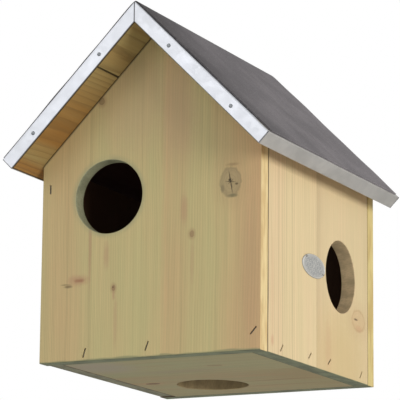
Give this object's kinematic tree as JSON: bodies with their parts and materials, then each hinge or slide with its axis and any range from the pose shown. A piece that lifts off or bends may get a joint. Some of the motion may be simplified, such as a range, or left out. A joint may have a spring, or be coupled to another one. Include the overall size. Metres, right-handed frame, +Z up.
{
  "type": "birdhouse",
  "caption": "Boarded timber nesting house with a felted, metal-edged saddle roof, round entrances in front, side and floor, and a side wall that swings out on pins.",
  "frame": {"origin": "on the base plane, under the middle of the roof, on the line below the ridge", "axes": "+Z up; the front board faces -Y; +X is to the right as seen from the front"},
  "size_m": [0.2784, 0.3116, 0.3315],
  "materials": {
    "gable_pine": "planed pine, pale green preservative tint, upright grain with knots",
    "side_pine": "planed pine, warm straw, upright grain",
    "floor_pine": "planed pine, olive brown, grain across",
    "roof_pine": "planed pine, orange brown bands, grain front to back",
    "galvanised_sheet": "galvanised, satin with faint spangle",
    "roofing_felt": "matte mineral surface, warm grey",
    "fixing_steel": "dull wire and screw steel",
    "tag_alloy": "hammered oval plate with a raised rim, blank"
  },
  "bodies": {
    "house": {"back_board_left": "gable_pine", "back_board_right": "gable_pine", "back_staple_1": "fixing_steel", "back_staple_2": "fixing_steel", "back_staple_3": "fixing_steel", "back_staple_4": "fixing_steel", "door_pin_front": "fixing_steel", "door_pin_rear": "fixing_steel", "eave_trim_left": "galvanised_sheet", "eave_trim_right": "galvanised_sheet", "floor_board_front": "floor_pine", "floor_board_rear": "floor_pine", "front_board_left": "gable_pine", "front_board_right": "gable_pine", "front_staple_1": "fixing_steel", "front_staple_2": "fixing_steel", "front_staple_3": "fixing_steel", "hanger_screw_lower": "fixing_steel", "hanger_screw_upper": "fixing_steel", "hanging_plate": "galvanised_sheet", "oval_tag": "tag_alloy", "right_wall_front": "side_pine", "right_wall_rear": "side_pine", "roof_board_left_lower": "roof_pine", "roof_board_left_upper": "roof_pine", "roof_board_right_lower": "roof_pine", "roof_board_right_upper": "roof_pine", "roof_felt": "roofing_felt", "roof_staple_left_lower_front": "fixing_steel", "roof_staple_left_lower_rear": "fixing_steel", "roof_staple_left_upper_front": "fixing_steel", "roof_staple_left_upper_rear": "fixing_steel", "roof_staple_right_lower_front": "fixing_steel", "roof_staple_right_lower_rear": "fixing_steel", "roof_staple_right_upper_front": "fixing_steel", "roof_staple_right_upper_rear": "fixing_steel", "side_staple_1": "fixing_steel", "side_staple_2": "fixing_steel", "side_staple_3": "fixing_steel", "side_staple_4": "fixing_steel", "tag_nail_1": "tag_alloy", "tag_nail_2": "tag_alloy", "turn_button_screw": "fixing_steel", "verge_nail_front_left_lower": "galvanised_sheet", "verge_nail_front_left_upper": "galvanised_sheet", "verge_nail_front_right_lower": "galvanised_sheet", "verge_nail_front_right_upper": "galvanised_sheet", "verge_nail_rear_left_lower": "galvanised_sheet", "verge_nail_rear_left_upper": "galvanised_sheet", "verge_nail_rear_right_lower": "galvanised_sheet", "verge_nail_rear_right_upper": "galvanised_sheet", "verge_trim_front_left": "galvanised_sheet", "verge_trim_front_right": "galvanised_sheet", "verge_trim_rear_left": "galvanised_sheet", "verge_trim_rear_right": "galvanised_sheet"},
    "side_door": {"door_board_front": "side_pine", "door_board_rear": "side_pine"},
    "latch": {"turn_button": "galvanised_sheet"}
  },
  "joints": [
    {"name": "door_swing", "type": "hinge", "parent": "house", "child": "side_door", "pos_m": [-0.1102, 0, 0.16708], "axis": [0, 1, 0], "range_deg": [0, 104]},
    {"name": "latch_turn", "type": "hinge", "parent": "house", "child": "latch", "pos_m": [-0.1194, 0.1437, 0.048], "axis": [-1, 0, 0], "range_deg": [0, 90]}
  ]
}
